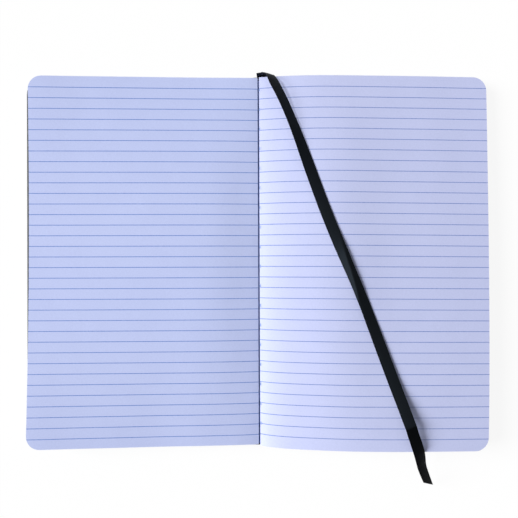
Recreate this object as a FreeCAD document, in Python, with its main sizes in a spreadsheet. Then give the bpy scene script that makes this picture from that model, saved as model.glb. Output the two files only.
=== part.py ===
# Ruled softcover notebook lying open at the middle, with a ribbon marker.
# Millimetres. +X points to the right-hand fore-edge, +Y to the head, +Z up.
# The origin is on the table, under the middle of the open cover.
import FreeCAD, Part
import math
import os
import Sketcher

os.makedirs("parts", exist_ok=True)
doc = FreeCAD.newDocument("notebook")
Vector = FreeCAD.Vector

# Driving dimensions
SIZES = {
    "PageWidth": 130.0,
    "PageHeight": 210.0,
    "PageCornerRadius": 7.5,
    "LeftRiseHead": 4.7,
    "LeftRiseTail": 8.8,
    "RightRiseHead": 5.0,
    "RightRiseTail": 8.5,
    "FoldThickness": 1.5,
    "FoldSlitWidth": 0.7,
    "FoldSlitDepth": 0.8,
    "CoverThickness": 1.0,
    "CoverWidth": 129.4,
    "CoverOverhang": 1.0,
    "FoldShift": 1.0,
    "CoverCornerRadius": 8.5,
    "EndpaperThickness": 0.2,
    "EndpaperInset": 1.0,
    "SpineChord": 8.0,
    "SpineRise": 2.4,
    "HingeGap": 0.1,
    "HollowBack": 0.6,
    "RibbonWidth": 6.4,
    "RibbonThickness": 0.4,
}
# The leaves' top is cut from a blank that stands this much above the highest rise.
BLANK_ALLOWANCE = 4.0
# An edge that moves sideways by less than this counts as upright.
UPRIGHT_WITHIN = 1e-6

sheet = doc.addObject("Spreadsheet::Sheet", "Sizes")
for row, (alias, value) in enumerate(SIZES.items(), start=1):
    sheet.set(f"A{row}", alias)
    sheet.set(f"B{row}", str(value))
    sheet.setAlias(f"B{row}", alias)
doc.recompute()


def size(alias):
    return float(sheet.get(alias))


page_width = size("PageWidth")
half_height = size("PageHeight") / 2
# The leaves' fold lies this far to the right of the cover's middle.
fold_shift = size("FoldShift")
cover_thickness = size("CoverThickness")
leaf_floor = cover_thickness + size("EndpaperThickness")
fold_height = size("SpineRise") + cover_thickness + size("HollowBack") + size("FoldThickness")
rises = ("LeftRiseHead", "LeftRiseTail", "RightRiseHead", "RightRiseTail")
highest_rise = max(size(alias) for alias in rises)
blank_height = fold_height + highest_rise + BLANK_ALLOWANCE

# The spine is an arc over its chord, and the hollow in the page block shares its centre.
half_chord = size("SpineChord") / 2
spine_inner_radius = (half_chord**2 + size("SpineRise") ** 2) / (2 * size("SpineRise"))
spine_outer_radius = spine_inner_radius + cover_thickness
spine_centre_height = size("SpineRise") - spine_inner_radius

# How the top leaf rises from the fold: the distance out as a share of the page width, then
# the rise at the head and at the tail, each as a share of that side's own rise there.
LEFT_PROFILE = (
    (0.04, 0.05, 0.06),
    (0.15, 0.16, 0.18),
    (0.35, 0.37, 0.41),
    (0.62, 0.64, 0.66),
    (0.85, 0.87, 0.86),
    (1.00, 1.00, 1.00),
)
RIGHT_PROFILE = (
    (0.03, 0.22, 0.07),
    (0.08, 0.82, 0.24),
    (0.14, 0.96, 0.48),
    (0.23, 0.99, 0.73),
    (0.35, 1.00, 0.91),
    (0.50, 0.92, 1.00),
    (0.70, 0.64, 1.00),
    (0.85, 0.38, 0.94),
    (1.00, 0.06, 0.80),
)
# The cutting curve runs on this share past the fore-edge.
RUN_ON = 0.04


def top_curve(profile, side, rise, column):
    """One side of the top leaf at one end of the book, from the fold out past the fore-edge.

    The points are in the section's own plane, and the parameter is the share of the width."""
    shares = [0.0] + [entry[0] for entry in profile]
    rises = [0.0] + [entry[column] * rise for entry in profile]
    slope = (rises[-1] - rises[-2]) / (shares[-1] - shares[-2])
    shares.append(1.0 + RUN_ON)
    rises.append(rises[-1] + slope * RUN_ON)
    points = [Vector(side * s * page_width, fold_height + r, 0) for s, r in zip(shares, rises)]
    curve = Part.BSplineCurve()
    curve.interpolate(Points=points, Parameters=shares)
    return curve


LEFT_CURVES = (
    top_curve(LEFT_PROFILE, -1, size("LeftRiseHead"), 1),
    top_curve(LEFT_PROFILE, -1, size("LeftRiseTail"), 2),
)
RIGHT_CURVES = (
    top_curve(RIGHT_PROFILE, 1, size("RightRiseHead"), 1),
    top_curve(RIGHT_PROFILE, 1, size("RightRiseTail"), 2),
)


def leaf_height(from_fold, y):
    """Height of the top leaf above the table, at a distance to the right of the fold."""
    head, tail = RIGHT_CURVES if from_fold > 0 else LEFT_CURVES
    across = min(abs(from_fold) / page_width, 1.0)
    along = min(max((half_height - y) / (2 * half_height), 0.0), 1.0)
    return head.value(across).y * (1 - along) + tail.value(across).y * along


def stop_if_failed():
    failed = [o.Name for o in doc.Objects if "Invalid" in o.State or "Error" in o.State]
    if failed:
        raise SystemExit(f"failed objects: {failed}")


def new_body(name):
    body = doc.addObject("PartDesign::Body", name)
    body.Label = name
    return body


def new_sketch(body, name, role, offset=0.0, at_fold=False):
    """A sketch on one of the body's own origin planes, moved along the plane's normal.

    One at the fold also goes with the leaves to the right of the cover's middle."""
    sketch = body.newObject("Sketcher::SketchObject", name)
    plane = next(f for f in body.Origin.OriginFeatures if f.Role == role)
    sketch.AttachmentSupport = [(plane, "")]
    sketch.MapMode = "FlatFace"
    sketch.AttachmentOffset = FreeCAD.Placement(Vector(0, 0, offset), FreeCAD.Rotation())
    if at_fold:
        sketch.setExpression("AttachmentOffset.Base.x", "Sizes.FoldShift")
    return sketch


def bind_distance(sketch, kind, args, guess, formula):
    """Add a distance constraint that follows a formula over the sheet."""
    index = sketch.addConstraint(Sketcher.Constraint(kind, *args, guess))
    sketch.setExpression(f"Constraints[{index}]", formula)


def rectangle(sketch, x_low, x_high, width, height, formulas):
    """A rectangle about the X axis. Formulas give its inner edge, its width and its height.

    With no formula for the inner edge it lies about the Y axis too."""
    y = height / 2
    corners = [(x_low, -y), (x_high, -y), (x_high, y), (x_low, y)]
    for i in range(4):
        start, end = corners[i], corners[(i + 1) % 4]
        sketch.addGeometry(Part.LineSegment(Vector(*start, 0), Vector(*end, 0)))
    for i in range(4):
        sketch.addConstraint(Sketcher.Constraint("Coincident", i, 2, (i + 1) % 4, 1))
    sketch.addConstraint(Sketcher.Constraint("Horizontal", 2))
    sketch.addConstraint(Sketcher.Constraint("Vertical", 3))
    sketch.addConstraint(Sketcher.Constraint("Symmetric", 1, 1, 1, 2, -1))
    inner, across, along = formulas
    bind_distance(sketch, "DistanceX", (0, 1, 0, 2), width, across)
    bind_distance(sketch, "DistanceY", (1, 1, 1, 2), height, along)
    if not inner:
        sketch.addConstraint(Sketcher.Constraint("Symmetric", 0, 1, 0, 2, -2))
        return
    sketch.addConstraint(Sketcher.Constraint("Horizontal", 0))
    if x_low > 0:
        bind_distance(sketch, "DistanceX", (-1, 1, 0, 1), x_low, inner)
    else:
        bind_distance(sketch, "DistanceX", (0, 2, -1, 1), -x_high, inner)


def pad(body, name, sketch, formula):
    feature = body.newObject("PartDesign::Pad", name)
    feature.Profile = sketch
    feature.setExpression("Length", formula)
    doc.recompute()
    stop_if_failed()
    return feature


def round_corners(body, name, base, x_least, formula):
    """Round the upright edges that stand at least x_least from the fold."""
    edges = []
    for index, edge in enumerate(base.Shape.Edges, start=1):
        run = edge.Vertexes[-1].Point - edge.Vertexes[0].Point
        upright = abs(run.x) + abs(run.y) < UPRIGHT_WITHIN
        if upright and abs(edge.CenterOfMass.x) > x_least:
            edges.append(f"Edge{index}")
    feature = body.newObject("PartDesign::Fillet", name)
    feature.Base = (base, edges)
    feature.setExpression("Radius", formula)
    body.Tip = feature
    doc.recompute()
    stop_if_failed()
    return feature


def build_sheet(name, side, bottom, bottom_formula, thickness_formula, inset, radius_formula):
    """A cover board or an endpaper: a flat leaf on one side of the fold."""
    body = new_body(name)
    sketch = new_sketch(body, name + "_outline", "XY_Plane", bottom)
    sketch.setExpression("AttachmentOffset.Base.z", bottom_formula)
    inner = half_chord + size("HingeGap")
    width = size("CoverWidth") - inset
    height = 2 * (half_height + size("CoverOverhang") - inset)
    low = inner if side > 0 else -(inner + width)
    shrink = " - Sizes.EndpaperInset" if inset else ""
    rectangle(
        sketch,
        low,
        low + width,
        width,
        height,
        (
            "Sizes.SpineChord / 2 + Sizes.HingeGap",
            "Sizes.CoverWidth" + shrink,
            "Sizes.PageHeight + 2 * (Sizes.CoverOverhang" + shrink + ")",
        ),
    )
    blank = pad(body, name + "_sheet", sketch, thickness_formula)
    round_corners(body, name + "_corners", blank, inner + width / 2, radius_formula)
    return body


def build_spine():
    """The strip of cover material between the covers, arched up because the book lies open."""
    body = new_body("spine")
    sketch = new_sketch(body, "spine_section", "XZ_Plane")
    centre = Vector(0, spine_centre_height, 0)
    up = Vector(0, 0, 1)
    inner = Part.Circle(centre, up, spine_inner_radius)
    outer = Part.Circle(centre, up, spine_outer_radius)
    inner_reach = math.asin(half_chord / spine_inner_radius)
    outer_reach = math.asin(half_chord / spine_outer_radius)
    quarter = math.pi / 2
    sketch.addGeometry(Part.ArcOfCircle(inner, quarter - inner_reach, quarter + inner_reach))
    sketch.addGeometry(Part.ArcOfCircle(outer, quarter - outer_reach, quarter + outer_reach))
    shoulder = spine_centre_height + spine_outer_radius * math.cos(outer_reach)
    for side in (-1, 1):
        foot = Vector(side * half_chord, 0, 0)
        top = Vector(side * half_chord, shoulder, 0)
        sketch.addGeometry(Part.LineSegment(foot, top))
    strip = body.newObject("PartDesign::Pad", "spine_strip")
    strip.Profile = sketch
    strip.Midplane = True
    strip.setExpression("Length", "Sizes.PageHeight + 2 * Sizes.CoverOverhang")
    doc.recompute()
    return body


def above_leaves(body, name, y, left, right):
    """The outline of the space above the top leaves, in the plane across the book at y."""
    sketch = new_sketch(body, name, "XZ_Plane", -y, at_fold=True)
    for curve in (left, right):
        sketch.addGeometry(curve)
    ends = [curve.value(1.0 + RUN_ON) for curve in (left, right)]
    roof = blank_height + BLANK_ALLOWANCE
    path = [ends[0], Vector(ends[0].x, roof, 0), Vector(ends[1].x, roof, 0), ends[1]]
    for start, end in zip(path, path[1:]):
        sketch.addGeometry(Part.LineSegment(start, end))
    return sketch


def cut_along(body, name, sketch):
    """Cut a section right through the block along Y, both ways from the middle."""
    before = body.Shape.Volume
    pocket = body.newObject("PartDesign::Pocket", name)
    pocket.Profile = sketch
    pocket.Midplane = True
    pocket.setExpression("Length", "Sizes.PageHeight + 2 * Sizes.CoverOverhang")
    doc.recompute()
    body.Tip = pocket
    doc.recompute()
    if not body.Shape.Volume < before:
        raise SystemExit(name + " cuts nothing")


def build_page_block():
    """All the leaves as one solid: flat below, and above it the two pages as they lie."""
    body = new_body("page_block")
    outline = new_sketch(body, "block_outline", "XY_Plane", leaf_floor, at_fold=True)
    outline.setExpression(
        "AttachmentOffset.Base.z", "Sizes.CoverThickness + Sizes.EndpaperThickness"
    )
    rectangle(
        outline,
        -page_width,
        page_width,
        2 * page_width,
        2 * half_height,
        ("", "2 * Sizes.PageWidth", "Sizes.PageHeight"),
    )
    blank = body.newObject("PartDesign::Pad", "block_blank")
    blank.Profile = outline
    blank.Length = blank_height - leaf_floor
    doc.recompute()
    stop_if_failed()
    round_corners(body, "block_corners", blank, page_width / 2, "Sizes.PageCornerRadius")
    before = body.Shape.Volume
    loft = body.newObject("PartDesign::SubtractiveLoft", "open_pages")
    head = above_leaves(body, "pages_at_head", half_height, LEFT_CURVES[0], RIGHT_CURVES[0])
    tail = above_leaves(body, "pages_at_tail", -half_height, LEFT_CURVES[1], RIGHT_CURVES[1])
    loft.Profile = head
    loft.Sections = [tail]
    loft.Ruled = True
    body.Tip = loft
    doc.recompute()
    if not body.Shape.Volume < before:
        raise SystemExit("the open pages cut nothing")

    hollow = new_sketch(body, "hollow_section", "XZ_Plane")
    centre = Vector(0, spine_centre_height, 0)
    hollow_radius = spine_outer_radius + size("HollowBack")
    hollow.addGeometry(Part.Circle(centre, Vector(0, 0, 1), hollow_radius))
    hollow.addConstraint(Sketcher.Constraint("PointOnObject", 0, 3, -2))
    bind_distance(
        hollow,
        "DistanceY",
        (0, 3, -1, 1),
        -spine_centre_height,
        "(pow(Sizes.SpineChord / 2; 2) - pow(Sizes.SpineRise; 2)) / (2 * Sizes.SpineRise)",
    )
    bind_distance(
        hollow,
        "Radius",
        (0,),
        hollow_radius,
        "(pow(Sizes.SpineChord / 2; 2) + pow(Sizes.SpineRise; 2)) / (2 * Sizes.SpineRise)"
        " + Sizes.CoverThickness + Sizes.HollowBack",
    )
    cut_along(body, "hollow_back", hollow)

    slit = new_sketch(body, "slit_section", "XZ_Plane", at_fold=True)
    half_slit = size("FoldSlitWidth") / 2
    apex = Vector(0, fold_height - size("FoldSlitDepth"), 0)
    mouth = [Vector(side * half_slit, fold_height + half_slit, 0) for side in (-1, 1)]
    for start, end in ((apex, mouth[0]), (mouth[0], mouth[1]), (mouth[1], apex)):
        slit.addGeometry(Part.LineSegment(start, end))
    cut_along(body, "fold_slit", slit)
    return body


# The ribbon is glued behind the head of the block, comes up slantwise beside the fold, turns
# over the head edge with its left side high, lies across the right-hand page, rises in a hump
# near the tail and hangs over the tail edge to the table.
# Behind the head: the distance from the fold, out past the head edge and above the table,
# then the direction across the ribbon.
RIBBON_HEAD = (
    (2.0, 0.8, 4.4, (0.80, 0.00, -0.60)),
    (3.2, 1.6, 6.9, (0.75, 0.20, -0.63)),
    (4.8, 0.7, 10.5, (0.42, 0.60, -0.68)),
)
# On the page: the distance from the fold and the place along it, how far the ribbon's middle
# is above the leaf, and how far the ribbon tips up to the right for each millimetre across.
RIBBON_ON_PAGE = (
    (8.8, 101.0, 3.7, -0.93),
    (12.9, 93.0, 2.9, -0.95),
    (17.4, 83.0, 2.6, -0.85),
    (22.2, 71.0, 2.4, -0.62),
    (29.7, 50.0, 1.7, -0.20),
    (38.5, 26.0, 1.2, 0.10),
    (48.1, 3.0, 1.9, 0.40),
    (56.7, -18.0, 1.9, 0.40),
    (64.9, -40.0, 1.0, 0.05),
    (75.2, -68.0, 1.6, 0.00),
    (80.6, -84.0, 5.2, 0.00),
    (83.6, -93.5, 6.4, -0.15),
)
# Past the page: the distance from the fold, out past the tail edge and above the table,
# then how far the ribbon tips.
RIBBON_TAIL = (
    (87.7, -1.0, 17.6, -0.10),
    (89.9, 5.5, 13.8, -0.75),
    (91.9, 13.0, 8.8, -1.00),
    (97.3, 23.5, 3.4, -1.20),
)
# Each bend takes up this share of the shorter of its two runs.
BEND_SHARE = 0.45


def ribbon_route():
    """Places along the ribbon's middle line, with the direction across the ribbon at each."""
    places = [Vector(x, half_height + out, z) for x, out, z, _ in RIBBON_HEAD]
    places += [Vector(x, y, leaf_height(x, y) + lift) for x, y, lift, _ in RIBBON_ON_PAGE]
    places += [Vector(x, -half_height - out, z) for x, out, z, _ in RIBBON_TAIL]
    across = [Vector(*direction) for *_, direction in RIBBON_HEAD]
    tips = [tip for *_, tip in RIBBON_ON_PAGE + RIBBON_TAIL]
    for i, tip in enumerate(tips, start=len(RIBBON_HEAD)):
        run = places[min(i + 1, len(places) - 1)] - places[i - 1]
        right = Vector(-run.y, run.x, 0).normalize()
        across.append(Vector(right.x, right.y, tip))
    to_fold = Vector(fold_shift, 0, 0)
    return [place + to_fold for place in places], across


def ribbon_stations(places, across):
    """Line and arc points along the route, each with its direction along and across."""
    stations = [(places[0], (places[1] - places[0]).normalize(), across[0])]
    edges = []
    radii = []
    last = places[0]
    for before, corner, after, sideways, i in zip(
        places, places[1:], places[2:], across[1:], range(1, len(places))
    ):
        back = (before - corner).normalize()
        on = (after - corner).normalize()
        reach = BEND_SHARE * min(before.distanceToPoint(corner), corner.distanceToPoint(after))
        turn = math.pi - back.getAngle(on)
        radius = reach / math.tan(turn / 2)
        radii.append(radius)
        start = corner + back * reach
        end = corner + on * reach
        inward = (back + on).normalize()
        middle = corner + inward * (radius / math.cos(turn / 2) - radius)
        edges.append(Part.LineSegment(last, start).toShape())
        edges.append(Part.Arc(start, middle, end).toShape())
        near = BEND_SHARE / 2
        early = across[i - 1] * near + sideways * (1 - near)
        late = across[i + 1] * near + sideways * (1 - near)
        stations.append((start, back * -1, early))
        stations.append((middle, (on - back).normalize(), sideways))
        stations.append((end, on, late))
        last = end
    edges.append(Part.LineSegment(last, places[-1]).toShape())
    stations.append((places[-1], (places[-1] - places[-2]).normalize(), across[-1]))
    return stations, Part.Wire(edges), radii


def ribbon_section(place, along, sideways):
    """Corners of the flat section square to the run, anticlockwise seen from further on."""
    right = (sideways - along * sideways.dot(along)).normalize()
    up = along.cross(right).normalize()
    across = right * (size("RibbonWidth") / 2)
    through = up * (size("RibbonThickness") / 2)
    return [
        place - across - through,
        place + across - through,
        place + across + through,
        place - across + through,
    ]


def flat_faces(*corners):
    """The flat triangles of a four-sided patch, which may be twisted."""
    return [
        Part.Face(Part.makePolygon([corners[0], b, c, corners[0]]))
        for b, c in zip(corners[1:], corners[2:])
    ]


def build_ribbon():
    """A flat strip that bends and twists, made of flat facets between its sections."""
    places, across = ribbon_route()
    stations, path, radii = ribbon_stations(places, across)
    sections = [ribbon_section(*station) for station in stations]
    faces = flat_faces(*reversed(sections[0])) + flat_faces(*sections[-1])
    for behind, ahead in zip(sections, sections[1:]):
        for i in range(4):
            j = (i + 1) % 4
            faces += flat_faces(behind[i], behind[j], ahead[j], ahead[i])
    ribbon = doc.addObject("Part::Feature", "ribbon_marker")
    ribbon.Shape = Part.makeSolid(Part.makeShell(faces))
    ribbon.Label = "ribbon_marker"
    plain_volume = size("RibbonWidth") * size("RibbonThickness") * path.Length
    print("ribbon length", round(path.Length, 1))
    print("ribbon volume over section times length", round(ribbon.Shape.Volume / plain_volume, 4))
    print("ribbon bend radii", [round(radius, 1) for radius in radii])
    print("ribbon route", [tuple(round(c, 2) for c in place) for place in places])
    return ribbon


nodes = [
    build_sheet(
        "front_cover", -1, 0.0, "0 mm", "Sizes.CoverThickness", 0.0, "Sizes.CoverCornerRadius"
    ),
    build_sheet(
        "back_cover", 1, 0.0, "0 mm", "Sizes.CoverThickness", 0.0, "Sizes.CoverCornerRadius"
    ),
    build_sheet(
        "front_endpaper",
        -1,
        cover_thickness,
        "Sizes.CoverThickness",
        "Sizes.EndpaperThickness",
        size("EndpaperInset"),
        "Sizes.CoverCornerRadius - Sizes.EndpaperInset",
    ),
    build_sheet(
        "back_endpaper",
        1,
        cover_thickness,
        "Sizes.CoverThickness",
        "Sizes.EndpaperThickness",
        size("EndpaperInset"),
        "Sizes.CoverCornerRadius - Sizes.EndpaperInset",
    ),
    build_spine(),
    build_page_block(),
    build_ribbon(),
]
doc.recompute()

stop_if_failed()
for node in nodes:
    if node.Shape.isNull() or not node.Shape.isValid() or not node.Shape.Solids:
        raise SystemExit(f"bad shape: {node.Label}")
    box = node.Shape.BoundBox
    print(
        node.Label,
        len(node.Shape.Solids),
        "volume",
        round(node.Shape.Volume, 1),
        "box",
        [round(c, 2) for c in (box.XMin, box.XMax, box.YMin, box.YMax, box.ZMin, box.ZMax)],
    )
    node.Shape.exportStep(f"parts/{node.Label}.step")
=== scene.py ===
import math
import random

import bpy
import numpy as np
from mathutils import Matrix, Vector


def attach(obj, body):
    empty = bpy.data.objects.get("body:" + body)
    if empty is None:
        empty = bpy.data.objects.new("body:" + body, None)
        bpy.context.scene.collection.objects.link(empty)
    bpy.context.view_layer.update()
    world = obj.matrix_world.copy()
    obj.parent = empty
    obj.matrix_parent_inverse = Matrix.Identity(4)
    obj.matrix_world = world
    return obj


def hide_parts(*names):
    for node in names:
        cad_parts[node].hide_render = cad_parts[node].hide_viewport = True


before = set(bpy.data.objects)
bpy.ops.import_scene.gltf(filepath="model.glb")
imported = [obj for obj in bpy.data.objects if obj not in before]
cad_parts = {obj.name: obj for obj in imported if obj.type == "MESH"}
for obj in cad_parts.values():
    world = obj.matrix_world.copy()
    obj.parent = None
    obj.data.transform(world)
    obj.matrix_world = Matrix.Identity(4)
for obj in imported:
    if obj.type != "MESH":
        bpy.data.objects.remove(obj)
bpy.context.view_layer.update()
random.seed(7)

MM = 0.001

# Sizes of the notebook, in millimetres, as the part has them
PAGE_WIDTH = 130.0
PAGE_HEIGHT = 210.0
PAGE_CORNER_RADIUS = 7.5
FOLD_HEIGHT = 5.5
FOLD_SHIFT = 1.0
LEAF_FLOOR = 1.2
HOLLOW_CENTRE_HEIGHT = -2.133
HOLLOW_RADIUS = 6.133
COVER_INNER_EDGE = 4.1
COVER_WIDTH = 129.4
COVER_HEIGHT = 212.0
COVER_THICKNESS = 1.0
COVER_CORNER_RADIUS = 8.5
RIBBON_WIDTH = 6.4
RIBBON_LENGTH = 263.6

# The open leaves curl. The part's page runs straight from head to tail, and the printed rules in
# the photograph show a bow there. Each row has the distance from the fold, then the rise of the
# top page over the fold at the head, in the middle and at the tail.
LEFT_RISE = (
    (10.0, 0.4, 1.1, 1.1),
    (21.0, 0.6, 2.2, 1.9),
    (36.0, 1.0, 2.9, 2.8),
    (53.0, 1.7, 3.3, 3.5),
    (70.0, 2.5, 3.6, 4.7),
    (87.0, 3.3, 3.8, 5.9),
    (104.0, 4.0, 4.0, 7.0),
    (119.0, 4.9, 4.1, 8.2),
    (130.0, 5.3, 4.2, 8.9),
)
RIGHT_RISE = (
    (8.0, 1.3, 2.9, 3.1),
    (23.0, 3.0, 6.2, 6.4),
    (45.5, 3.6, 8.3, 9.0),
    (73.0, 3.2, 7.2, 9.6),
    (99.0, 2.6, 6.4, 8.8),
    (115.0, 1.9, 5.7, 8.0),
    (130.0, 1.5, 5.0, 7.2),
)

# The right-hand leaves lie a hair nearer to the head at the fold and turn to the tail further
# out. They are trimmed a little longer, and their outer corner by the tail is drawn in.
RIGHT_LEAF_STRETCH = 1.1
RIGHT_TAIL_DRAW = 1.5
TURN_AT_FOLD = 0.34
TURN_START = 35.0
TURN_RATE = 0.0095

# The real block has about 60 leaves of 0.1 mm on each side. They are drawn half as many and
# twice as thick, so that their edges show.
LEAVES = 30
LEAF_FILL = 0.62
LEAF_WANDER = 0.16

# The gap between the two halves runs a little to the right on its way to the tail. The pages turn
# down into it, by so much at the head and at the tail.
FOLD_GAP = 0.88
FOLD_LEAN = 0.3
DIP_REACH = 6.0
LEFT_DIP = (0.1, 0.2)
RIGHT_DIP = (0.2, 0.6)

# Notches cut through the fold, filled with glue, show along the right-hand page.
NOTCH_PITCH = 11.24
NOTCHES = 18
FIRST_NOTCH_INSET = 6.8
NOTCH_DEPTH = 1.1
NOTCH_HALF_LENGTH = 1.05

# The printed rules. Their edges are soft over a share of half their width.
RULE_PITCH = 6.0
FIRST_RULE_INSET = 6.37
RULES = 34
RULE_WIDTH = 0.43
RULE_SOFT_SHARE = 0.3

# The height that a bump in a material stands for, in millimetres
EMBOSS = 0.1

# Faces that meet at less than so many degrees are shaded as one smooth surface.
SMOOTH_BLOCK = 35
SMOOTH_COVER = 40
SMOOTH_RIBBON = 50


def spline(places, values):
    """A natural cubic spline through the points, as a function of the place."""
    t = np.array(places)
    y = np.array(values)
    h = np.diff(t)
    n = len(t)
    matrix = np.eye(n)
    right = np.zeros(n)
    for i in range(1, n - 1):
        matrix[i, i - 1 : i + 2] = h[i - 1], 2 * (h[i - 1] + h[i]), h[i]
        right[i] = 6 * ((y[i + 1] - y[i]) / h[i] - (y[i] - y[i - 1]) / h[i - 1])
    bend = np.linalg.solve(matrix, right)

    def at(place):
        i = int(min(max(np.searchsorted(t, place) - 1, 0), n - 2))
        a = t[i + 1] - place
        b = place - t[i]
        near_end = (y[i] / h[i] - bend[i] * h[i] / 6) * a
        far_end = (y[i + 1] / h[i] - bend[i + 1] * h[i] / 6) * b
        return float((bend[i] * a**3 + bend[i + 1] * b**3) / (6 * h[i]) + near_end + far_end)

    return at


def side_splines(rises):
    """Three smooth profiles across one page: at the head, in the middle and at the tail."""
    places = [0.0] + [entry[0] for entry in rises]
    return [spline(places, [0.0] + [entry[i] for entry in rises]) for i in (1, 2, 3)]


LEFT_SPLINES = side_splines(LEFT_RISE)
RIGHT_SPLINES = side_splines(RIGHT_RISE)


# Places on the pages are counted in millimetres from the fold, to the right and to the head.
def tailwards(y):
    """Share of the way from the head edge to the tail edge."""
    return min(max(0.5 - y / PAGE_HEIGHT, 0.0), 1.0)


def leaf_top(x, y):
    """Height of the top leaf: a smooth bow through the three profiles."""
    across = min(abs(x), PAGE_WIDTH)
    head, middle, tail = [at(across) for at in (RIGHT_SPLINES if x > 0 else LEFT_SPLINES)]
    t = tailwards(y)
    rise = head * (1 - t) * (1 - 2 * t) + middle * 4 * t * (1 - t) + tail * t * (2 * t - 1)
    return FOLD_HEIGHT + rise


def page_turn(x):
    """How far a leaf lies towards the head, on the right-hand side."""
    if x <= 0:
        return 0.0
    return TURN_AT_FOLD - TURN_RATE * max(0.0, x - TURN_START)


def near_fold(x):
    """A share that falls from 1 at the fold to 0 where the leaves no longer turn down."""
    return max(0.0, 1 - abs(x) / DIP_REACH)


def gutter_dip(x, y):
    """How far the leaves turn down beside the fold."""
    head, tail = RIGHT_DIP if x > 0 else LEFT_DIP
    t = tailwards(y)
    return (head * (1 - t) + tail * t) * near_fold(x) ** 2


def block_floor(x):
    """Height of the block's underside: flat on the endpapers, arched over the hollow back."""
    from_spine = x + FOLD_SHIFT
    if abs(from_spine) >= HOLLOW_RADIUS:
        return LEAF_FLOOR
    arch = HOLLOW_CENTRE_HEIGHT + math.sqrt(HOLLOW_RADIUS**2 - from_spine**2)
    return max(LEAF_FLOOR, arch)


def linear(hex_colour):
    """An sRGB hex colour as linear RGBA."""
    parts = [int(hex_colour[i : i + 2], 16) / 255 for i in (1, 3, 5)]
    return [c / 12.92 if c <= 0.04045 else ((c + 0.055) / 1.055) ** 2.4 for c in parts] + [1.0]


def add_node(tree, kind, settings=None, inputs=None):
    """A node with its settings; an input given as a socket is linked, any other is set."""
    node = tree.nodes.new(kind)
    for key, value in (settings or {}).items():
        setattr(node, key, value)
    for key, value in (inputs or {}).items():
        if isinstance(value, bpy.types.NodeSocket):
            tree.links.new(value, node.inputs[key])
        else:
            node.inputs[key].default_value = value
    return node


def new_material(name):
    """A new material, its node tree, its shader and its Object coordinates."""
    material = bpy.data.materials.new(name)
    material.use_nodes = True
    tree = material.node_tree
    shader = tree.nodes["Principled BSDF"]
    place = add_node(tree, "ShaderNodeTexCoord").outputs["Object"]
    return material, tree, shader, place


# Uncoated wood-free writing paper, offset ruled: a matte cool white sheet, faintly clouded by
# its fibres, with thin blue lines whose ink is a little uneven. On the cut edges of the leaves
# only faint marks of the lines show, and each leaf's edge is darkened by a random share: painted
# shade that stands in for the gaps between the leaves. The right-hand copy of the same paper is
# painted a little warmer, standing in for warmer light on that side. Each side has its paper, its
# darker clouds and its rules.
LEFT_PAPER = ("#CED8FF", "#B8C2EB", "#6A88CE")
# Painted light: the right-hand copy of the same paper is painted warmer and less blue, standing in
# for warmer light on that side.
RIGHT_PAPER_PAINTED_WARMER = ("#CED4F8", "#B8BFE3", "#768AC6")
# Painted shade: the colour that the cut edges of the leaves are darkened towards
PAPER_EDGE_PAINTED_SHADE_COLOUR = "#A9B2D0"
FIBRE_SIZE = 0.7
CLOUD_SIZE = 14.0
FIBRE_SHARE = 0.75
WORN_INK = 0.8
EDGE_INK = 0.25

# A face is a cut edge where its normal points up by less than the first share, and a page where
# it points up by more than the second.
CUT_EDGE_UP = 0.4
PAGE_UP = 0.8

# The printed rules follow the leaf as it curls, so they are placed by a map of the flat sheet,
# whose unit is this many millimetres.
FLAT_MAP_SIZE = 100.0


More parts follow.
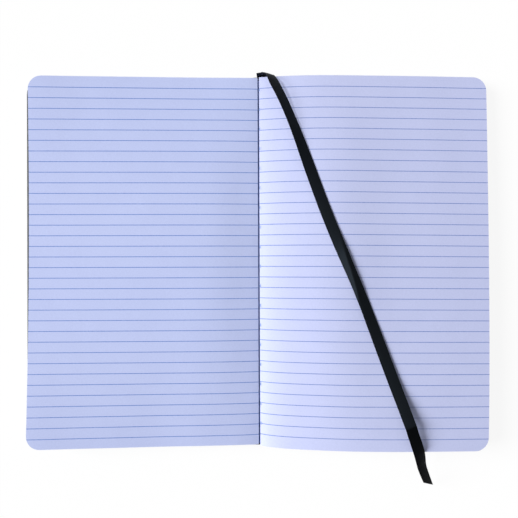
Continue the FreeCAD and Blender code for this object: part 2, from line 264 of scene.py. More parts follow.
def ruled_paper(name, colours):
    paper, cloud, rule = colours
    material, tree, shader, place = new_material(name)
    fibres = add_node(
        tree,
        "ShaderNodeTexNoise",
        {},
        {"Vector": place, "Scale": 1 / (FIBRE_SIZE * MM), "Detail": 4.0, "Roughness": 0.6},
    ).outputs["Fac"]
    clouds = add_node(
        tree,
        "ShaderNodeTexNoise",
        {},
        {"Vector": place, "Scale": 1 / (CLOUD_SIZE * MM), "Detail": 3.0, "Roughness": 0.5},
    ).outputs["Fac"]
    mottle = add_node(
        tree,
        "ShaderNodeMix",
        {"data_type": "FLOAT"},
        {"Factor": FIBRE_SHARE, "A": clouds, "B": fibres},
    ).outputs["Result"]
    sheet = add_node(
        tree,
        "ShaderNodeMix",
        {"data_type": "RGBA"},
        {"Factor": mottle, "A": linear(paper), "B": linear(cloud)},
    ).outputs["Result"]

    surface = add_node(tree, "ShaderNodeNewGeometry")
    normal = surface.outputs["Normal"]
    facing = add_node(tree, "ShaderNodeSeparateXYZ", {}, {"Vector": normal}).outputs["Z"]
    cut_edge = add_node(
        tree,
        "ShaderNodeMapRange",
        {"interpolation_type": "SMOOTHSTEP"},
        {
            "Value": facing,
            "From Min": CUT_EDGE_UP,
            "From Max": PAGE_UP,
            "To Min": 1.0,
            "To Max": 0.0,
        },
    ).outputs["Result"]
    # Painted shade: each leaf's cut edge is darkened by a random share, standing in for the shade
    # in the gaps between leaves.
    leaf_gap_painted_shade = add_node(
        tree,
        "ShaderNodeMath",
        {"operation": "MULTIPLY"},
        {0: surface.outputs["Random Per Island"], 1: cut_edge},
    ).outputs[0]
    sheet = add_node(
        tree,
        "ShaderNodeMix",
        {"data_type": "RGBA"},
        {"Factor": leaf_gap_painted_shade, "A": sheet, "B": linear(PAPER_EDGE_PAINTED_SHADE_COLOUR)},
    ).outputs["Result"]

    flat = add_node(tree, "ShaderNodeUVMap", {"uv_map": "UVMap"}).outputs["UV"]
    up_page = add_node(tree, "ShaderNodeSeparateXYZ", {}, {"Vector": flat}).outputs["Y"]
    first = PAGE_HEIGHT / 2 - FIRST_RULE_INSET
    down = add_node(
        tree,
        "ShaderNodeMath",
        {"operation": "MULTIPLY_ADD"},
        {0: up_page, 1: -FLAT_MAP_SIZE, 2: first},
    ).outputs[0]
    off = add_node(
        tree, "ShaderNodeMath", {"operation": "PINGPONG"}, {0: down, 1: RULE_PITCH / 2}
    ).outputs[0]
    half = RULE_WIDTH / 2
    line = add_node(
        tree,
        "ShaderNodeMapRange",
        {"interpolation_type": "SMOOTHSTEP"},
        {
            "Value": off,
            "From Min": half * (1 - RULE_SOFT_SHARE),
            "From Max": half * (1 + RULE_SOFT_SHARE),
            "To Min": 1.0,
            "To Max": 0.0,
        },
    ).outputs["Result"]
    ruled_height = (RULES - 1) * RULE_PITCH
    field = add_node(
        tree,
        "ShaderNodeMath",
        {"operation": "COMPARE"},
        {0: down, 1: ruled_height / 2, 2: ruled_height / 2 + RULE_PITCH / 2},
    ).outputs[0]
    wear = add_node(
        tree,
        "ShaderNodeMapRange",
        {},
        {"Value": fibres, "From Min": 0.35, "From Max": 0.65, "To Min": WORN_INK, "To Max": 1.0},
    ).outputs["Result"]
    marks = add_node(
        tree, "ShaderNodeMapRange", {}, {"Value": cut_edge, "To Min": 1.0, "To Max": EDGE_INK}
    ).outputs["Result"]
    ink = line
    for share in (field, wear, marks):
        ink = add_node(
            tree, "ShaderNodeMath", {"operation": "MULTIPLY"}, {0: ink, 1: share}
        ).outputs[0]
    printed = add_node(
        tree,
        "ShaderNodeMix",
        {"data_type": "RGBA"},
        {"Factor": ink, "A": sheet, "B": linear(rule)},
    ).outputs["Result"]
    tree.links.new(printed, shader.inputs["Base Color"])

    bump = add_node(
        tree, "ShaderNodeBump", {}, {"Height": fibres, "Strength": 0.12, "Distance": EMBOSS * MM}
    )
    tree.links.new(bump.outputs["Normal"], shader.inputs["Normal"])
    shader.inputs["Roughness"].default_value = 0.85
    shader.inputs["IOR"].default_value = 1.45
    shader.inputs["Specular IOR Level"].default_value = 0.2
    return material


# Black card for the endpapers: pulp-dyed, matte, softly clouded by its fibres.
CARD_COLOUR = "#1B1B1E"
CARD_CLOUD_COLOUR = "#232327"
CARD_FIBRE_SIZE = 1.0


def black_card():
    material, tree, shader, place = new_material("black card")
    fibres = add_node(
        tree,
        "ShaderNodeTexNoise",
        {},
        {"Vector": place, "Scale": 1 / (CARD_FIBRE_SIZE * MM), "Detail": 5.0, "Roughness": 0.65},
    ).outputs["Fac"]
    card = add_node(
        tree,
        "ShaderNodeMix",
        {"data_type": "RGBA"},
        {"Factor": fibres, "A": linear(CARD_COLOUR), "B": linear(CARD_CLOUD_COLOUR)},
    ).outputs["Result"]
    tree.links.new(card, shader.inputs["Base Color"])
    bump = add_node(
        tree, "ShaderNodeBump", {}, {"Height": fibres, "Strength": 0.2, "Distance": EMBOSS * MM}
    )
    tree.links.new(bump.outputs["Normal"], shader.inputs["Normal"])
    shader.inputs["Roughness"].default_value = 0.8
    shader.inputs["Specular IOR Level"].default_value = 0.3
    return material


# Polyurethane leatherette on a flexible card: near black, embossed with a fine pebble grain, with
# a low soft gloss that is a little uneven from patch to patch.
COVER_COLOUR = "#151517"
COVER_GRAIN = 0.7
COVER_PATCH_SIZE = 10 / 3


def leatherette():
    material, tree, shader, place = new_material("embossed leatherette")
    pebbles = add_node(
        tree,
        "ShaderNodeTexVoronoi",
        {"feature": "SMOOTH_F1"},
        {"Vector": place, "Scale": 1 / (COVER_GRAIN * MM), "Smoothness": 0.6},
    ).outputs["Distance"]
    uneven = add_node(
        tree,
        "ShaderNodeTexNoise",
        {},
        {"Vector": place, "Scale": 1 / (COVER_PATCH_SIZE * MM), "Detail": 3.0},
    ).outputs["Fac"]
    height = add_node(
        tree, "ShaderNodeMath", {"operation": "ADD"}, {0: pebbles, 1: uneven}
    ).outputs[0]
    bump = add_node(
        tree,
        "ShaderNodeBump",
        {"invert": True},
        {"Height": height, "Strength": 0.5, "Distance": EMBOSS * MM},
    )
    tree.links.new(bump.outputs["Normal"], shader.inputs["Normal"])
    rough = add_node(
        tree,
        "ShaderNodeMapRange",
        {},
        {"Value": uneven, "From Min": 0.3, "From Max": 0.7, "To Min": 0.48, "To Max": 0.62},
    )
    tree.links.new(rough.outputs["Result"], shader.inputs["Roughness"])
    shader.inputs["Base Color"].default_value = linear(COVER_COLOUR)
    shader.inputs["IOR"].default_value = 1.5
    return material


# Polyester satin ribbon: long warp threads on the face give a soft sheen where it turns to the
# light, tinted cold blue by a painted reflection colour that stands in for bluish light, and the
# two woven edges are a little denser and darker. Threads are 0.15 mm apart in the real ribbon and
# are drawn 0.4 mm apart so that they show. Past the crease near its end the ribbon shows its dull
# back: RUN_TO_TAIL is its direction there, and the crease lies so many millimetres along it.
RIBBON_COLOUR = "#08090A"
RIBBON_EDGE_COLOUR = "#040405"
RIBBON_PAINTED_REFLECTION_TINT = "#C2DCF8"
RIBBON_SHEEN = 0.29
RIBBON_BACK_SHEEN = 0.06
RUN_TO_TAIL = (0.35, -0.93, 0.0)
RUN_TO_CREASE = 114.6
CREASE_BLUR = 0.5
THREAD_PITCH = 0.4
WEFT_SHARE = 0.5
SELVEDGE_SHARE = 0.05


def satin():
    material, tree, shader, place = new_material("polyester satin")
    run = add_node(tree, "ShaderNodeUVMap", {"uv_map": "UVMap"}).outputs["UV"]
    parts = add_node(tree, "ShaderNodeSeparateXYZ", {}, {"Vector": run})
    face = add_node(
        tree,
        "ShaderNodeMath",
        {"operation": "COMPARE"},
        {0: parts.outputs["X"], 1: 0.5, 2: 0.5 - SELVEDGE_SHARE},
    ).outputs[0]
    colour = add_node(
        tree,
        "ShaderNodeMix",
        {"data_type": "RGBA"},
        {"Factor": face, "A": linear(RIBBON_EDGE_COLOUR), "B": linear(RIBBON_COLOUR)},
    ).outputs["Result"]
    tree.links.new(colour, shader.inputs["Base Color"])
    picks = add_node(
        tree,
        "ShaderNodeMath",
        {"operation": "MULTIPLY"},
        {0: parts.outputs["Y"], 1: RIBBON_LENGTH / THREAD_PITCH * 2 * math.pi},
    ).outputs[0]
    ends = add_node(
        tree,
        "ShaderNodeMath",
        {"operation": "MULTIPLY"},
        {0: parts.outputs["X"], 1: RIBBON_WIDTH / THREAD_PITCH * 2 * math.pi},
    ).outputs[0]
    weft = add_node(tree, "ShaderNodeMath", {"operation": "SINE"}, {0: picks}).outputs[0]
    warp = add_node(tree, "ShaderNodeMath", {"operation": "SINE"}, {0: ends}).outputs[0]
    height = add_node(
        tree, "ShaderNodeMath", {"operation": "MULTIPLY_ADD"}, {0: weft, 1: WEFT_SHARE, 2: warp}
    ).outputs[0]
    bump = add_node(
        tree, "ShaderNodeBump", {}, {"Height": height, "Strength": 0.2, "Distance": EMBOSS * MM}
    )
    tree.links.new(bump.outputs["Normal"], shader.inputs["Normal"])
    down = add_node(
        tree, "ShaderNodeVectorMath", {"operation": "DOT_PRODUCT"}, {0: place, 1: RUN_TO_TAIL}
    ).outputs["Value"]
    sheen = add_node(
        tree,
        "ShaderNodeMapRange",
        {},
        {
            "Value": down,
            "From Min": (RUN_TO_CREASE - CREASE_BLUR) * MM,
            "From Max": (RUN_TO_CREASE + CREASE_BLUR) * MM,
            "To Min": RIBBON_SHEEN,
            "To Max": RIBBON_BACK_SHEEN,
        },
    ).outputs["Result"]
    tree.links.new(sheen, shader.inputs["Specular IOR Level"])
    shader.inputs["Roughness"].default_value = 0.6
    # Painted reflection: a cold blue tint on the ribbon's reflections, standing in for bluish
    # light.
    shader.inputs["Specular Tint"].default_value = linear(RIBBON_PAINTED_REFLECTION_TINT)
    return material


# Milky blue-white binding glue on the back of the block and in the notches, set in soft lumps and
# seen only down the fold.
GLUE_COLOUR = "#9DB3EA"
GLUE_LUMP_SIZE = 2.5


def binding_glue():
    material, tree, shader, place = new_material("binding glue")
    lumps = add_node(
        tree,
        "ShaderNodeTexNoise",
        {},
        {"Vector": place, "Scale": 1 / (GLUE_LUMP_SIZE * MM), "Detail": 2.0},
    ).outputs["Fac"]
    bump = add_node(
        tree, "ShaderNodeBump", {}, {"Height": lumps, "Strength": 0.3, "Distance": EMBOSS * MM}
    )
    tree.links.new(bump.outputs["Normal"], shader.inputs["Normal"])
    shader.inputs["Base Color"].default_value = linear(GLUE_COLOUR)
    shader.inputs["Roughness"].default_value = 0.6
    shader.inputs["Specular IOR Level"].default_value = 0.25
    return material


RULED_PAPER = {
    -1: ruled_paper("ruled writing paper, left", LEFT_PAPER),
    1: ruled_paper("ruled writing paper, painted warmer, right", RIGHT_PAPER_PAINTED_WARMER),
}
BLACK_CARD = black_card()
LEATHERETTE = leatherette()
SATIN = satin()
GLUE = binding_glue()


def only(obj):
    """Select one object alone and make it active."""
    bpy.ops.object.select_all(action="DESELECT")
    obj.select_set(True)
    bpy.context.view_layer.objects.active = obj


def apply_modifiers(obj):
    """Apply an object's modifiers in their order."""
    only(obj)
    for modifier in list(obj.modifiers):
        bpy.ops.object.modifier_apply(modifier=modifier.name)


def own_copy(obj):
    """A copy in the scene that has its own mesh."""
    twin = obj.copy()
    twin.data = obj.data.copy()
    bpy.context.collection.objects.link(twin)
    return twin


def join(pieces):
    """Make one object of the pieces, in the first of them."""
    only(pieces[0])
    for piece in pieces:
        piece.select_set(True)
    bpy.ops.object.join()
    return pieces[0]


def select_vertices(obj, wanted):
    """Select the vertices that pass the test, and stay in edit mode."""
    bpy.ops.object.mode_set(mode="EDIT")
    bpy.ops.mesh.select_mode(type="VERT")
    bpy.ops.mesh.select_all(action="DESELECT")
    bpy.ops.object.mode_set(mode="OBJECT")
    for vertex in obj.data.vertices:
        vertex.select = wanted(vertex.co)
    bpy.ops.object.mode_set(mode="EDIT")


# A rounded corner of a sheet is cut into so many parts.
CORNER_SEGMENTS = 8


def rounded_sheet(name, side, inner, width, height, radius, columns, rows):
    """A flat sheet on one side of the fold with two rounded outer corners, cut into a grid."""
    bpy.ops.object.select_all(action="DESELECT")
    middle = side * (inner + width / 2) * MM
    bpy.ops.mesh.primitive_plane_add(size=1, location=(middle, 0, 0))
    sheet = bpy.context.active_object
    sheet.name = name
    sheet.scale = (width * MM, height * MM, 1)
    bpy.ops.object.transform_apply(location=True, rotation=True, scale=True)
    outer = (inner + width / 2) * MM
    select_vertices(sheet, lambda co: abs(co.x) > outer)
    bpy.ops.mesh.bevel(offset=radius * MM, segments=CORNER_SEGMENTS, affect="VERTICES")
    for x in columns:
        bpy.ops.mesh.select_all(action="SELECT")
        bpy.ops.mesh.bisect(plane_co=(side * x * MM, 0, 0), plane_no=(1, 0, 0))
    for y in rows:
        bpy.ops.mesh.select_all(action="SELECT")
        bpy.ops.mesh.bisect(plane_co=(0, y * MM, 0), plane_no=(0, 1, 0))
    bpy.ops.object.mode_set(mode="OBJECT")
    return sheet


def give(obj, material, body):
    """Dress an object with its material, and attach it to the body that it rides."""
    obj.data.materials.clear()
    obj.data.materials.append(material)
    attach(obj, body)


def as_slab(sheet):
    """Trim a flat sheet, give it its map, and an underside 1 mm down that is set later."""
    mesh = sheet.data
    flat_map = mesh.uv_layers.active.data
    for vertex in mesh.vertices:
        if vertex.co.x > 0:
            vertex.co.y -= RIGHT_LEAF_STRETCH * tailwards(vertex.co.y / MM) * MM
    for loop in mesh.loops:
        place = mesh.vertices[loop.vertex_index].co / MM
        flat_map[loop.index].uv = (place.x / FLAT_MAP_SIZE, place.y / FLAT_MAP_SIZE)
    solidify = sheet.modifiers.new("thickness", "SOLIDIFY")
    solidify.thickness = MM
    solidify.offset = -1
    apply_modifiers(sheet)


def lay_leaf(mesh, level, drift, settle):
    """Bend a slab to its place in the block.

    Its top goes to this level, counted in leaves from the floor. The drift puts it out of line by
    so much, and settle lifts its outer part by that share of the block.
    """
    for vertex in mesh.vertices:
        x, y = vertex.co.x / MM, vertex.co.y / MM
        step = level + vertex.co.z / MM * LEAF_FILL
        low = block_floor(x)
        top = leaf_top(x, y) - gutter_dip(x, y)
        out = abs(x) / PAGE_WIDTH
        share = step / LEAVES + settle * out * math.sin(math.pi * min(step / LEAVES, 1.0))
        height = low + (top - low) * share
        lean = FOLD_LEAN * tailwards(y) * near_fold(x)
        drawn = RIGHT_TAIL_DRAW * out * tailwards(y) ** 4 if x > 0 else 0.0
        lie_x = FOLD_SHIFT + x + lean - drawn + drift[0] * out
        vertex.co = Vector((lie_x, y + page_turn(x) + drift[1], height)) * MM


# Where the leaves are cut into a grid: across from the fold, and up and down from the middle
INNER_COLUMNS = (1.5, 3, 4.5, 6, 8, 11, 15, 20, 27, 36, 50, 65, 82, 100, 115, 122)
INNER_ROWS = (-98, -70, -35, 0, 35, 70, 98)
TOP_COLUMNS = (
    1.3, 2.2, 3, 4, 5, 6, 7, 8, 9.2, 10.5, 12, 13.5, 15, 17, 19, 21.5, 24, 27, 30, 34, 38,
    43, 48, 54, 60, 66, 73, 80, 87, 94, 101, 108, 114, 119, 123, 126,
)
TOP_ROWS = (-101, *range(-90, 91, 15), 101)
# Rows along a notch, as shares of its half length, and the share over which it is open
NOTCH_ROWS = (-1, -0.7, 0, 0.7, 1)
NOTCH_OPEN_SHARE = 0.8
# A leaf lies out of line at random, less to the outside than to the fold, and is lifted or lowered
# by up to a share of the block.
LEAF_OUTWARDS = 0.4
LEAF_SETTLE = 0.003


def notch_places():
    """Where the notches are cut, up or down the fold from the middle of the page."""
    first = PAGE_HEIGHT / 2 - FIRST_NOTCH_INSET
    return [first - i * NOTCH_PITCH for i in range(NOTCHES)]


def on_flat_leaf(y):
    """The place on a right-hand leaf, before it is stretched and laid, that ends up at y."""
    return y - TURN_AT_FOLD + RIGHT_LEAF_STRETCH * tailwards(y)


def leaf_stack(name, side):
    """All the leaves of one side but the top one, each a little out of line with the next."""
    inner = FOLD_GAP / 2
    blank = rounded_sheet(
        name,
        side,
        inner,
        PAGE_WIDTH - inner,
        PAGE_HEIGHT,
        PAGE_CORNER_RADIUS,
        INNER_COLUMNS,
        INNER_ROWS,
    )
    as_slab(blank)
    copies = []
    for level in range(1, LEAVES):
        leaf = own_copy(blank)
        out = random.uniform(-1, LEAF_OUTWARDS) * LEAF_WANDER * side
        up_page = random.uniform(-1, 1) * LEAF_WANDER
        lay_leaf(leaf.data, level, (out, up_page), random.uniform(-LEAF_SETTLE, LEAF_SETTLE))
        copies.append(leaf)
    bpy.data.objects.remove(blank)
    stack = join(copies)
    stack.name = name
    bpy.ops.object.shade_smooth_by_angle(angle=math.radians(SMOOTH_BLOCK))
    give(stack, RULED_PAPER[side], "block")
    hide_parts("page_block")


def top_page(name, side):
    """The page that shows, with the notches open along the fold on the right-hand side."""
    inner = FOLD_GAP / 2
    rows = list(TOP_ROWS)
    notches = [on_flat_leaf(y) for y in notch_places()] if side > 0 else []
    for y in notches:
        rows += [y + share * NOTCH_HALF_LENGTH for share in NOTCH_ROWS]
    page = rounded_sheet(
        name,
        side,
        inner,
        PAGE_WIDTH - inner,
        PAGE_HEIGHT,
        PAGE_CORNER_RADIUS,
        TOP_COLUMNS,
        sorted(rows),
    )
    half_open = NOTCH_HALF_LENGTH * NOTCH_OPEN_SHARE
    for vertex in page.data.vertices:
        in_notch = any(abs(vertex.co.y / MM - y) < half_open for y in notches)
        at_fold = abs(vertex.co.x / MM - inner) < 0.01
        if in_notch and at_fold:
            vertex.co.x += NOTCH_DEPTH * MM
    as_slab(page)
    lay_leaf(page.data, LEAVES, (0.0, 0.0), 0.0)
    bpy.ops.object.shade_smooth_by_angle(angle=math.radians(SMOOTH_BLOCK))
    give(page, RULED_PAPER[side], "block")
    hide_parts("page_block")


# The strip of glue just above the hollow back, and the beads that stand in the notches
GLUE_HALF_WIDTH = 4.6
GLUE_LENGTH = PAGE_HEIGHT - 0.4
GLUE_LIFT = 0.16
GLUE_THICKNESS = 0.15
BEAD_HALF_SIZE = (0.50, 0.95, 0.12)
BEAD_FLAT_LEVEL = 0.6
BEAD_INTO_GAP = 0.08


def glue_bead():
    """A low drop of glue, flat on top, that fills one notch."""
    bpy.ops.object.select_all(action="DESELECT")
    bpy.ops.mesh.primitive_uv_sphere_add(segments=12, ring_count=6, radius=1)
    bead = bpy.context.active_object
    bead.name = "glue_bead"
    half_width, half_length, half_height = BEAD_HALF_SIZE
    for vertex in bead.data.vertices:
        x, y, z = vertex.co
        level = min(z, BEAD_FLAT_LEVEL)
        vertex.co = Vector((x * half_width, y * half_length, level * half_height)) * MM
    return bead


def glued_back():
    """The glue that holds the leaves: a strip arched over the hollow back, and a bead a notch."""
    bpy.ops.object.select_all(action="DESELECT")
    bpy.ops.mesh.primitive_grid_add(x_subdivisions=16, y_subdivisions=2, size=1)
    back = bpy.context.active_object
    back.name = "glued_back"
    for vertex in back.data.vertices:
        x = vertex.co.x * 2 * GLUE_HALF_WIDTH
        y = vertex.co.y * GLUE_LENGTH
        vertex.co = Vector((FOLD_SHIFT + x, y, block_floor(x) + GLUE_LIFT)) * MM
    solidify = back.modifiers.new("thickness", "SOLIDIFY")
    solidify.thickness = GLUE_THICKNESS * MM
    solidify.offset = -1
    apply_modifiers(back)
    bead = glue_bead()
    pieces = [back]
    for y in notch_places():
        x = FOLD_GAP / 2 + FOLD_LEAN * tailwards(y) + BEAD_HALF_SIZE[0] - BEAD_INTO_GAP
        height = leaf_top(x, y) - gutter_dip(x, y) - BEAD_HALF_SIZE[2]
        drop = own_copy(bead)
        for vertex in drop.data.vertices:
            vertex.co += Vector((FOLD_SHIFT + x, y, height)) * MM
        pieces.append(drop)
    bpy.data.objects.remove(bead)
    join(pieces)
    bpy.ops.object.shade_smooth_by_angle(angle=math.radians(SMOOTH_BLOCK))
    give(back, GLUE, "block")
    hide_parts("page_block")


# The left-hand cover has spread a hair past its place, so that its edge shows beside the page.
COVER_SPREAD = 0.3
# The middle of the groove pressed along the hinge, from outside, is so far from the inner edge.
GROOVE_PLACE = 7.0
GROOVE_HALF_WIDTH = 1.4
GROOVE_DEPTH = 0.3
GROOVE_COLUMNS = (-1, -0.5, 0, 0.5, 1)
ROLLED_EDGE = 0.32
ROLLED_EDGE_SEGMENTS = 3


def soft_cover(node, side, body, width):
    """A soft cover with rolled edges and a shallow groove along its hinge."""
    groove = COVER_INNER_EDGE + GROOVE_PLACE
    cover = rounded_sheet(
        node + "_board",
        side,
        COVER_INNER_EDGE,
        width,
        COVER_HEIGHT,
        COVER_CORNER_RADIUS,
        [groove + share * GROOVE_HALF_WIDTH for share in GROOVE_COLUMNS],
        (),
    )
    solidify = cover.modifiers.new("thickness", "SOLIDIFY")
    solidify.thickness = COVER_THICKNESS * MM
    solidify.offset = 1
    apply_modifiers(cover)
    for vertex in cover.data.vertices:
        off = (abs(vertex.co.x) / MM - groove) / GROOVE_HALF_WIDTH
        outside = vertex.co.z < COVER_THICKNESS / 2 * MM
        if outside and abs(off) < 1:
            vertex.co.z += GROOVE_DEPTH * MM * math.cos(off * math.pi / 2) ** 2
    bevel = cover.modifiers.new("rolled edge", "BEVEL")
    bevel.width = ROLLED_EDGE * MM
    bevel.segments = ROLLED_EDGE_SEGMENTS
    bevel.limit_method = "ANGLE"
    bevel.angle_limit = math.radians(60)
    apply_modifiers(cover)
    bpy.ops.object.shade_smooth_by_angle(angle=math.radians(SMOOTH_COVER))
    give(cover, LEATHERETTE, body)
    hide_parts(node)


# The ribbon's route is the part's, moved a little where the leaves of this model lie higher or
# lower. Behind the head: distance from the fold, out past the head edge and above the table,
# then the direction across the ribbon.
RIBBON_HEAD = (
    (-0.8, 1.1, 5.0, (0.02, -0.22, -0.97)),
    (1.9, 1.3, 5.1, (0.12, -0.22, -0.96)),
    (4.5, 1.7, 7.4, (0.40, -0.06, -0.88)),
    (6.5, 0.9, 10.2, (0.62, 0.20, -0.72)),
)
# On the page: the place, how far the ribbon's middle is above the leaf, and how far the ribbon
# tips up to the right. In the middle of the page the ridge below takes the place of the tip.
RIBBON_ON_PAGE = (
    (8.8, 101.0, 4.6, -0.64),
    (12.9, 93.0, 4.4, -0.64),
    (17.4, 83.0, 3.4, -0.62),
    (22.2, 71.0, 2.2, -0.50),
    (29.6, 50.0, 0.9, -0.15),
    (38.2, 26.0, 0.5, 0.00),
    (47.6, 3.0, 0.6, 0.00),
    (56.5, -18.0, 1.1, 0.00),
    (64.8, -40.0, 0.6, 0.00),
    (75.1, -68.0, 0.7, 0.00),
    (80.9, -84.0, 2.9, 0.00),
    (83.9, -93.5, 4.3, -0.10),
)
# Past the tail edge: distance from the fold, out past the edge, above the table, and the tip.
RIBBON_TAIL = (
    (87.8, -1.0, 17.3, 0.00),
    (90.0, 5.4, 14.1, -0.30),
    (92.1, 12.6, 10.2, -0.62),
    (96.9, 22.8, 5.8, -0.85),
)
# The half turn in the middle of the page leaves a ridge that crosses the ribbon: place up the
# page, how far the ridge is from the ribbon's middle line as a share of its half width, and the
# slopes in degrees of the faces to the left and to the right of it, up to the right.
RIBBON_RIDGE = (
    (-60.0, 0.00, 0.0, 0.0),
    (-42.0, -0.85, 0.0, -6.0),
    (-30.0, -0.85, 0.0, -14.0),
    (-22.0, -0.80, 20.0, -17.0),
    (-16.0, -0.40, 30.0, -19.0),
    (-10.5, -0.15, 27.0, -20.0),
    (-5.0, 0.10, 24.0, -20.0),
    (0.6, 0.25, 21.0, -17.0),
    (7.0, 0.50, 12.0, -9.0),
    (13.0, 0.70, 4.0, -3.0),
    (20.0, 0.85, 0.0, 0.0),
    (60.0, 0.00, 0.0, 0.0),
)
# A crease square to the run, where the ribbon turns down to the tail edge
CREASE_PLACE = -91.5
CREASE_REACH = 4.0
CREASE_RISE = 0.7
# The cloth is a little crowned, drawn thinner than the part's ribbon, and cut on a slant at its
# end, over the last rows of its grid.
RIBBON_COLUMNS = 12
RIBBON_CROWN = 0.12
RIBBON_THICKNESS = 0.3
TIP_SLANT = 9.0
TIP_ROWS = 6


def ribbon_route():
    """The route's points in millimetres, and the direction across the ribbon at each."""
    half = PAGE_HEIGHT / 2
    places = [Vector((x, half + out, z)) for x, out, z, _ in RIBBON_HEAD]
    places += [Vector((x, y, leaf_top(x, y) + lift)) for x, y, lift, _ in RIBBON_ON_PAGE]
    places += [Vector((x, -half - out, z)) for x, out, z, _ in RIBBON_TAIL]
    across = [Vector(direction) for *_, direction in RIBBON_HEAD]
    tips = [entry[-1] for entry in RIBBON_ON_PAGE + RIBBON_TAIL]
    for i, tip in enumerate(tips, len(RIBBON_HEAD)):
        run = places[min(i + 1, len(places) - 1)] - places[i - 1]
        right = Vector((-run.y, run.x, 0)).normalized()
        right.z = tip
        across.append(right.normalized())
    to_fold = Vector((FOLD_SHIFT, 0, 0))
    return [place + to_fold for place in places], across


def smooth_line(places):
    """Points along the smooth line that the route's points control."""
    curve = bpy.data.curves.new("ribbon_route", "CURVE")
    curve.dimensions = "3D"
    line = curve.splines.new("NURBS")
    line.points.add(len(places) - 1)
    for point, place in zip(line.points, places):
        point.co = (*(place * MM), 1.0)
    line.order_u = 3
    line.use_endpoint_u = True
    line.resolution_u = 10
    holder = bpy.data.objects.new("ribbon_route", curve)
    bpy.context.collection.objects.link(holder)
    mesh = bpy.data.meshes.new_from_object(holder)
    points = [vertex.co / MM for vertex in mesh.vertices]
    bpy.data.objects.remove(holder)
    bpy.data.meshes.remove(mesh)
    return points


def nearest_across(point, places, across):
    """The direction across the ribbon, blended along the run that the point is nearest to."""
    best = None
    for i in range(len(places) - 1):
        run = places[i + 1] - places[i]
        share = min(max((point - places[i]).dot(run) / run.length_squared, 0.0), 1.0)
        gap = (point - places[i] - run * share).length
        if best is None or gap < best[0]:
            best = (gap, across[i].lerp(across[i + 1], share))
    return best[1]


def ridge_section(u, y):
    """The ribbon's section: share across, then distances across and up, in millimetres."""
    places, offsets, lefts, rights = zip(*RIBBON_RIDGE)
    half = RIBBON_WIDTH / 2
    ridge = float(np.interp(y, places, offsets))
    left = math.radians(float(np.interp(y, places, lefts)))
    right = math.radians(float(np.interp(y, places, rights)))
    share = ridge + u * (1 - ridge if u > 0 else 1 + ridge)

    def off_ridge(share):
        slope = right if share > ridge else left
        out = (share - ridge) * half
        return Vector((out * math.cos(slope), out * math.sin(slope)))

    middle = (off_ridge(-1.0) + off_ridge(1.0)) / 2
    section = off_ridge(share) - middle
    return share, section.x, section.y + RIBBON_CROWN * (1 - share * share)


def ribbon_marker():
    """A flat woven strip along the smooth line, cut on a slant at its free end."""
    places, across = ribbon_route()
    points = smooth_line(places)
    rows = len(points) - 1
    bpy.ops.object.select_all(action="DESELECT")
    bpy.ops.mesh.primitive_grid_add(x_subdivisions=RIBBON_COLUMNS, y_subdivisions=rows, size=1)
    ribbon = bpy.context.active_object
    ribbon.name = "ribbon"
    shares = []  # where each vertex lies across the ribbon, from -1 to 1
    for vertex in ribbon.data.vertices:
        row = round((0.5 - vertex.co.y) * rows)
        point = points[row]
        along = (points[min(row + 1, rows)] - points[max(row - 1, 0)]).normalized()
        sideways = nearest_across(point, places, across)
        right = (sideways - along * sideways.dot(along)).normalized()
        up = right.cross(along) * -1
        share, out, rise = ridge_section(vertex.co.x * 2, point.y)
        rise += CREASE_RISE * max(0.0, 1 - abs(point.y - CREASE_PLACE) / CREASE_REACH)
        slant = TIP_SLANT / 2 * share * max(0.0, 1 - (rows - row) / TIP_ROWS)
        vertex.co = (point + right * out + up * rise + along * slant) * MM
        shares.append(share)
    cloth_map = ribbon.data.uv_layers.active.data
    for loop in ribbon.data.loops:
        cloth_map[loop.index].uv.x = (shares[loop.vertex_index] + 1) / 2
    solidify = ribbon.modifiers.new("thickness", "SOLIDIFY")
    solidify.thickness = RIBBON_THICKNESS * MM
    solidify.offset = 0
    apply_modifiers(ribbon)
    bpy.ops.object.shade_smooth_by_angle(angle=math.radians(SMOOTH_RIBBON))
    give(ribbon, SATIN, "block")
    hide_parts("ribbon_marker")


def dress_node(node, material):
    """Give one of the part's own pieces a better material."""
    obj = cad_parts[node]
    for slot in obj.material_slots:
        slot.material = material


leaf_stack("left_leaves", -1)
leaf_stack("right_leaves", 1)
top_page("left_page", -1)
top_page("right_page", 1)
glued_back()
soft_cover("front_cover", -1, "front", COVER_WIDTH + COVER_SPREAD)
soft_cover("back_cover", 1, "back", COVER_WIDTH)
dress_node("spine", LEATHERETTE)
dress_node("front_endpaper", BLACK_CARD)
dress_node("back_endpaper", BLACK_CARD)
ribbon_marker()

# A pale floor just under the covers, one soft key from the left, and an even sky
FLOOR_DROP = 0.3
FLOOR_SIZE = 6
FLOOR_COLOUR = "#FDFDFD"
FLOOR_GLOW = 0.9
KEY_SHARE = 0.75
KEY_ELEVATION = 30.0
KEY_HEADING = 8.0
KEY_SOFTNESS = 34.0

# The key and the sky together light a flat sheet at a level of 1.
SKY_STRENGTH = 1 - KEY_SHARE
KEY_STRENGTH = KEY_SHARE * math.pi / math.sin(math.radians(KEY_ELEVATION))


def seen_by_camera(tree):
    """1 for rays that come straight from the camera or through something clear, else 0."""
    rays = add_node(tree, "ShaderNodeLightPath").outputs
    return add_node(
        tree,
        "ShaderNodeMath",
        {"operation": "MAXIMUM"},
        {0: rays["Is Camera Ray"], 1: rays["Is Transmission Ray"]},
    ).outputs[0]


bpy.ops.object.select_all(action="DESELECT")
bpy.ops.mesh.primitive_plane_add(size=FLOOR_SIZE, location=(0, 0, -FLOOR_DROP * MM))
floor = bpy.context.active_object
floor.name = "floor"
floor_material, floor_tree, floor_shader, _ = new_material("matt floor")
floor_shader.inputs["Base Color"].default_value = linear(FLOOR_COLOUR)
floor_shader.inputs["Roughness"].default_value = 0.9
floor_shader.inputs["Specular IOR Level"].default_value = 0.0
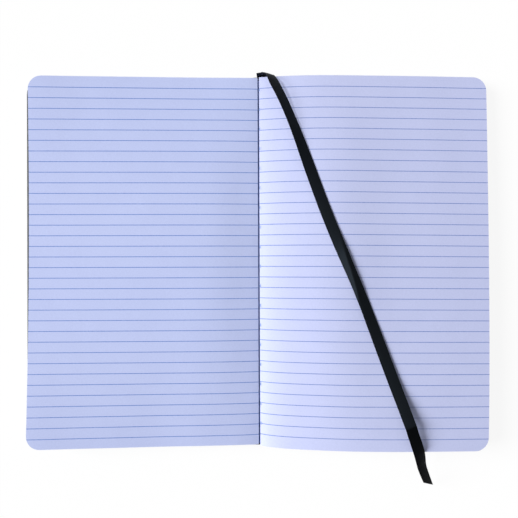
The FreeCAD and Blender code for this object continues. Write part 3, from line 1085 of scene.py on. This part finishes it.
# The camera sees most of the floor as plain white, and the rest keeps the object's shadow.
floor_share = add_node(
    floor_tree,
    "ShaderNodeMath",
    {"operation": "MULTIPLY"},
    {0: seen_by_camera(floor_tree), 1: FLOOR_GLOW},
).outputs[0]
floor_white = add_node(
    floor_tree, "ShaderNodeEmission", {}, {"Color": (1.0, 1.0, 1.0, 1.0), "Strength": 1.0}
).outputs["Emission"]
floor_mix = add_node(
    floor_tree,
    "ShaderNodeMixShader",
    {},
    {0: floor_share, 1: floor_shader.outputs["BSDF"], 2: floor_white},
).outputs["Shader"]
floor_tree.links.new(floor_mix, floor_tree.nodes["Material Output"].inputs["Surface"])
floor.data.materials.append(floor_material)

key = bpy.data.objects.new("key", bpy.data.lights.new("key", "SUN"))
key.data.energy = KEY_STRENGTH
key.data.angle = math.radians(KEY_SOFTNESS)
key.rotation_euler = (0, -math.radians(90 - KEY_ELEVATION), -math.radians(KEY_HEADING))
bpy.context.collection.objects.link(key)

world = bpy.data.worlds.new("studio")
bpy.context.scene.world = world
world.use_nodes = True
sky_tree = world.node_tree
sky = sky_tree.nodes["Background"]
# The camera sees a plain white sky, while the notebook is lit by it at the sky's own strength.
level = add_node(
    sky_tree,
    "ShaderNodeMapRange",
    {},
    {"Value": seen_by_camera(sky_tree), "To Min": SKY_STRENGTH, "To Max": 1.0},
)
sky_tree.links.new(level.outputs["Result"], sky.inputs["Strength"])
sky.inputs["Color"].default_value = (1.0, 1.0, 1.0, 1.0)

# The photograph looks straight down from 300 mm above the fold.
CAMERA_ABOVE_FOLD = 300.0
CAMERA_X = 1.2
CAMERA_Y = 1.2
CAMERA_ROLL = -0.141
CAMERA_LENS = 36.35
CAMERA_SENSOR = 36.0
CAMERA_NEAR = 10.0

camera = bpy.data.objects.new("camera", bpy.data.cameras.new("camera"))
camera.data.lens = CAMERA_LENS
camera.data.sensor_width = CAMERA_SENSOR
camera.location = Vector((CAMERA_X, CAMERA_Y, FOLD_HEIGHT + CAMERA_ABOVE_FOLD)) * MM
camera.rotation_euler = (0, 0, math.radians(CAMERA_ROLL))
camera.data.clip_start = CAMERA_NEAR * MM
bpy.context.collection.objects.link(camera)
bpy.context.scene.camera = camera
bpy.context.scene.view_settings.view_transform = "Standard"
